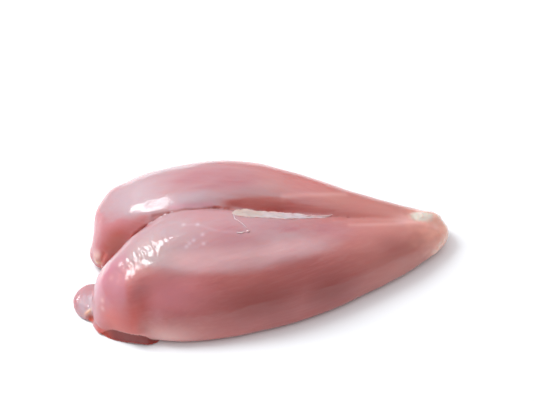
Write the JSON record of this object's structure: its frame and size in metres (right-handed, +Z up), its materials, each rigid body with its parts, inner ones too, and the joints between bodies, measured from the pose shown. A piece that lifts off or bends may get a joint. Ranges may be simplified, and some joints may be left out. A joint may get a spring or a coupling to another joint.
{
  "type": "raw chicken breast",
  "caption": "Whole raw chicken breast, boned and skinned: plump lobes joined along the keel line, parted at the thick end and tapering to a blunt tip.",
  "frame": {"origin": "centre of the footprint, on the surface that the breast lies on", "axes": "+X along the keel line from the thick, notched end to the tip; +Y from the near lobe to the far lobe; +Z up, skin side up"},
  "size_m": [0.215, 0.1053, 0.0485],
  "materials": {
    "meat": "wet raw meat: pink, slightly translucent, glossy"
  },
  "bodies": {
    "root": {"chicken_breast": "meat"}
  },
  "joints": []
}
